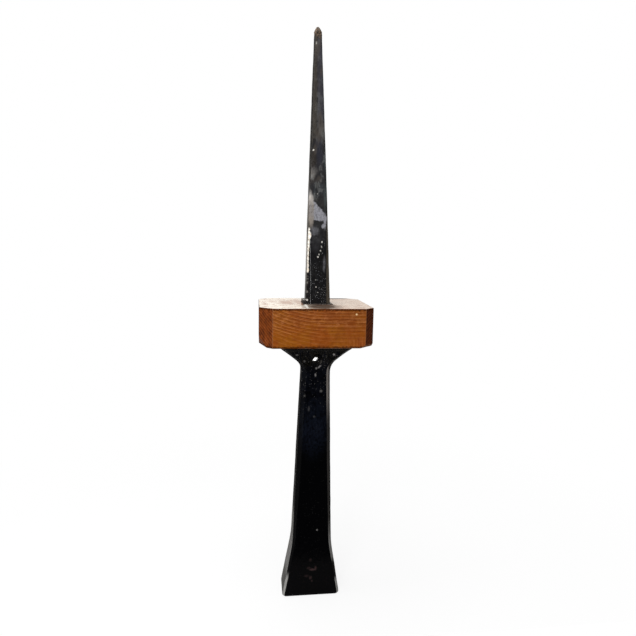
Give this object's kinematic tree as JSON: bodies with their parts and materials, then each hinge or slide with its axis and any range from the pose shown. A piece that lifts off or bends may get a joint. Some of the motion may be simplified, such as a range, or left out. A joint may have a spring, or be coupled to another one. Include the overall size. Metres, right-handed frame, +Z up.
{
  "type": "blacksmith punch",
  "caption": "Forged iron punch with a long tapered spike through a corner-cut wood collar, on a black shank that flares to a flat foot.",
  "frame": {"origin": "middle of the object on the ground, under the sole of the foot; the collar is centred on it", "axes": "+Z up along the spike, +X to the right across the wide front of the shank, -Y out of the front that bears the rivet's domed head"},
  "size_m": [0.11, 0.1, 0.583],
  "materials": {
    "forged_iron": "dark forge scale, glossy in places, grey where it has worn, brown at the tip",
    "varnished_wood": "orange-brown wood under a glossy varnish, grain along the width",
    "hammered_iron": "dark iron with a bright hammered head",
    "dark_pitch": "hard glossy brown-black pitch",
    "black_painted_iron": "glossy black paint on rough forged iron",
    "black_painted_rivet": "glossy black paint, worn on the crown"
  },
  "bodies": {
    "root": {"punch_spike": "forged_iron", "wood_collar": "varnished_wood", "collar_wedge": "hammered_iron", "pitch_bed": "dark_pitch", "flared_shank": "black_painted_iron", "cross_rivet": "black_painted_rivet"}
  },
  "joints": []
}
